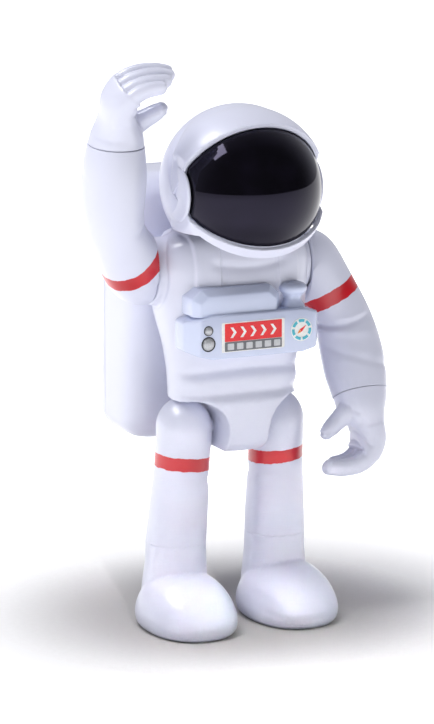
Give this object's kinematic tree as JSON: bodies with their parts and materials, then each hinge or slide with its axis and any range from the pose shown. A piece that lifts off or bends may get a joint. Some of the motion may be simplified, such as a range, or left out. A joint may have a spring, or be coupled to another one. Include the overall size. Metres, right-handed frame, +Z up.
{
  "type": "astronaut action figure",
  "caption": "Standing toy astronaut with a round helmet, lifting dark visor, chest control box, backpack and jointed arms, gloves and legs",
  "frame": {"origin": "on the ground, under the middle of the figure's bounding box", "axes": "+Z up, the figure faces -Y, its left side is +X"},
  "size_m": [0.0622, 0.051, 0.1088],
  "materials": {
    "suit_abs": "gloss",
    "pack_abs": "gloss",
    "printed_red": "gloss",
    "silver_paint": "satin",
    "skin_vinyl": "matte",
    "visor_black": "gloss",
    "pin_acetal": "matte",
    "steel": "brushed"
  },
  "bodies": {
    "torso": {"torso_front": "suit_abs", "torso_back": "suit_abs", "torso_screws": "steel", "neck_post": "suit_abs", "chest_pack": "pack_abs", "supply_valve": "pack_abs", "label_plate": "printed_red", "round_badge": "printed_red", "knob_small": "silver_paint", "knob_large": "silver_paint", "backpack_front": "suit_abs", "backpack_back": "suit_abs", "backpack_screws": "steel"},
    "head": {"helmet_shell": "suit_abs", "head": "skin_vinyl", "ear_cap_right": "suit_abs", "ear_cap_left": "suit_abs"},
    "visor": {"visor": "visor_black"},
    "arm_right": {"arm_right": "suit_abs", "shoulder_pin_right": "pin_acetal"},
    "arm_left": {"arm_left": "suit_abs", "shoulder_pin_left": "pin_acetal"},
    "hand_right": {"glove_right": "suit_abs", "wrist_pin_right": "pin_acetal"},
    "hand_left": {"glove_left": "suit_abs", "wrist_pin_left": "pin_acetal"},
    "leg_right": {"leg_right": "suit_abs", "hip_pin_right": "pin_acetal", "boot_right": "suit_abs"},
    "leg_left": {"leg_left": "suit_abs", "hip_pin_left": "pin_acetal", "boot_left": "suit_abs"}
  },
  "joints": [
    {"name": "neck_turn", "type": "hinge", "parent": "torso", "child": "head", "pos_m": [0, -0.0068, 0.078], "axis": [0, 0, 1], "range_deg": [-35, 35]},
    {"name": "visor_lift", "type": "hinge", "parent": "head", "child": "visor", "pos_m": [0, -0.0112, 0.084], "axis": [-1, 0, 0], "range_deg": [0, 75]},
    {"name": "shoulder_right", "type": "hinge", "parent": "torso", "child": "arm_right", "pos_m": [-0.0159, -0.0015, 0.068], "axis": [-1, 0, 0], "continuous": true},
    {"name": "shoulder_left", "type": "hinge", "parent": "torso", "child": "arm_left", "pos_m": [0.0159, -0.0015, 0.068], "axis": [-1, 0, 0], "continuous": true},
    {"name": "wrist_right", "type": "hinge", "parent": "arm_right", "child": "hand_right", "pos_m": [-0.025, -0.00911, 0.09368], "axis": [0, -0.1334, 0.9911], "range_deg": [-40, 40]},
    {"name": "wrist_left", "type": "hinge", "parent": "arm_left", "child": "hand_left", "pos_m": [0.025, -0.01, 0.0426], "axis": [0, -0.4592, -0.8884], "range_deg": [-40, 40]},
    {"name": "hip_right", "type": "hinge", "parent": "torso", "child": "leg_right", "pos_m": [-0.0096, -0.005, 0.0383], "axis": [-1, 0, 0], "range_deg": [-25, 90]},
    {"name": "hip_left", "type": "hinge", "parent": "torso", "child": "leg_left", "pos_m": [0.0096, -0.005, 0.0383], "axis": [-1, 0, 0], "range_deg": [-25, 90]}
  ]
}
